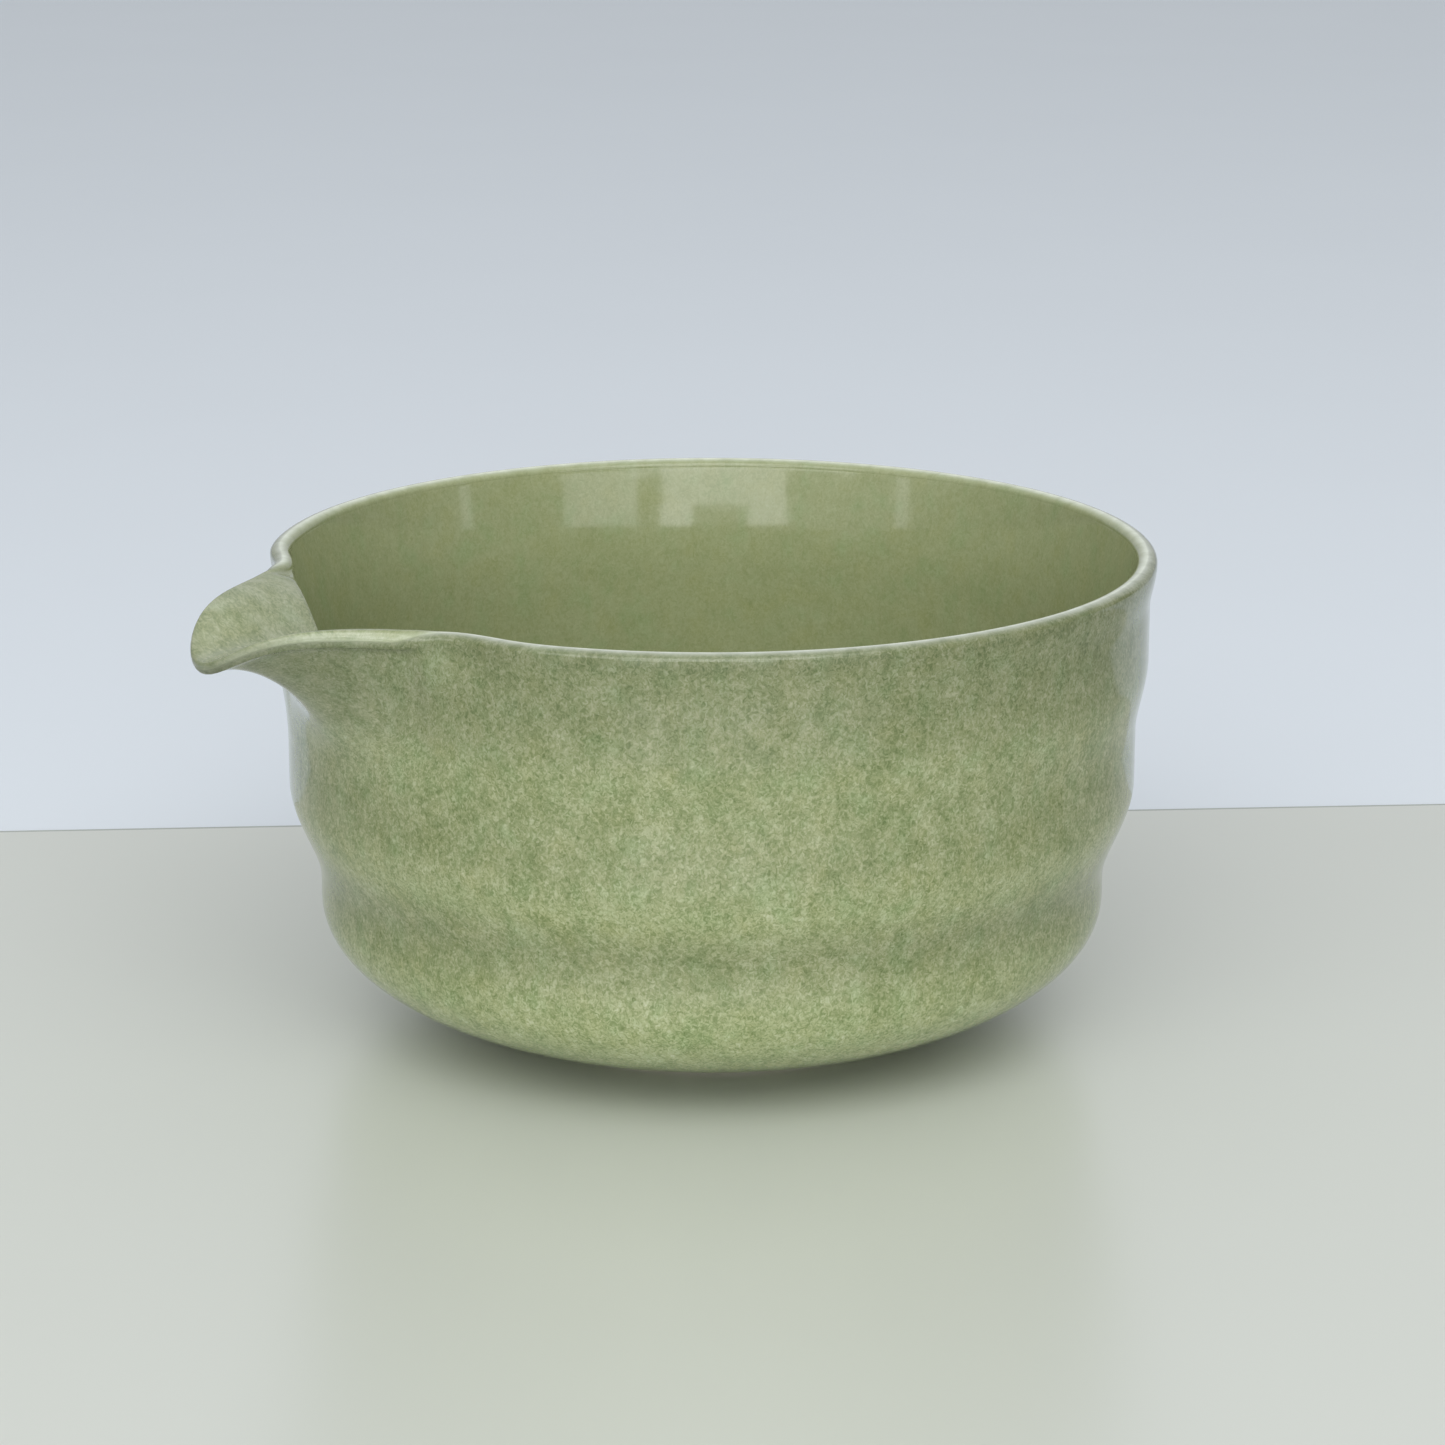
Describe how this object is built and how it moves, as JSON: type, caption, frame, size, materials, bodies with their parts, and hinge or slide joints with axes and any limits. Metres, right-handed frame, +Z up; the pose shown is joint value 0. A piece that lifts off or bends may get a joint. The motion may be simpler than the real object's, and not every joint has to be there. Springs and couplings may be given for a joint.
{
  "type": "mixing bowl",
  "caption": "Round glazed stoneware mixing bowl with a pouring spout drawn out of its rim, a banded wall and a low foot ring.",
  "frame": {"origin": "middle of the footprint box, on the plane that the foot ring stands on", "axes": "+Z up, square to the foot ring's tread; the spout points along -X; +Y completes a right-handed frame"},
  "size_m": [0.1827, 0.16, 0.088],
  "materials": {
    "bare_clay": "bare fired stoneware, fine and matt",
    "green_glaze": "glossy glaze in mottled moss green and pale cream green"
  },
  "bodies": {
    "root": {"clay_body": "bare_clay", "pouring_spout": "bare_clay", "foot_ring": "bare_clay", "glaze_coat": "green_glaze", "base_glaze": "green_glaze"}
  },
  "joints": []
}
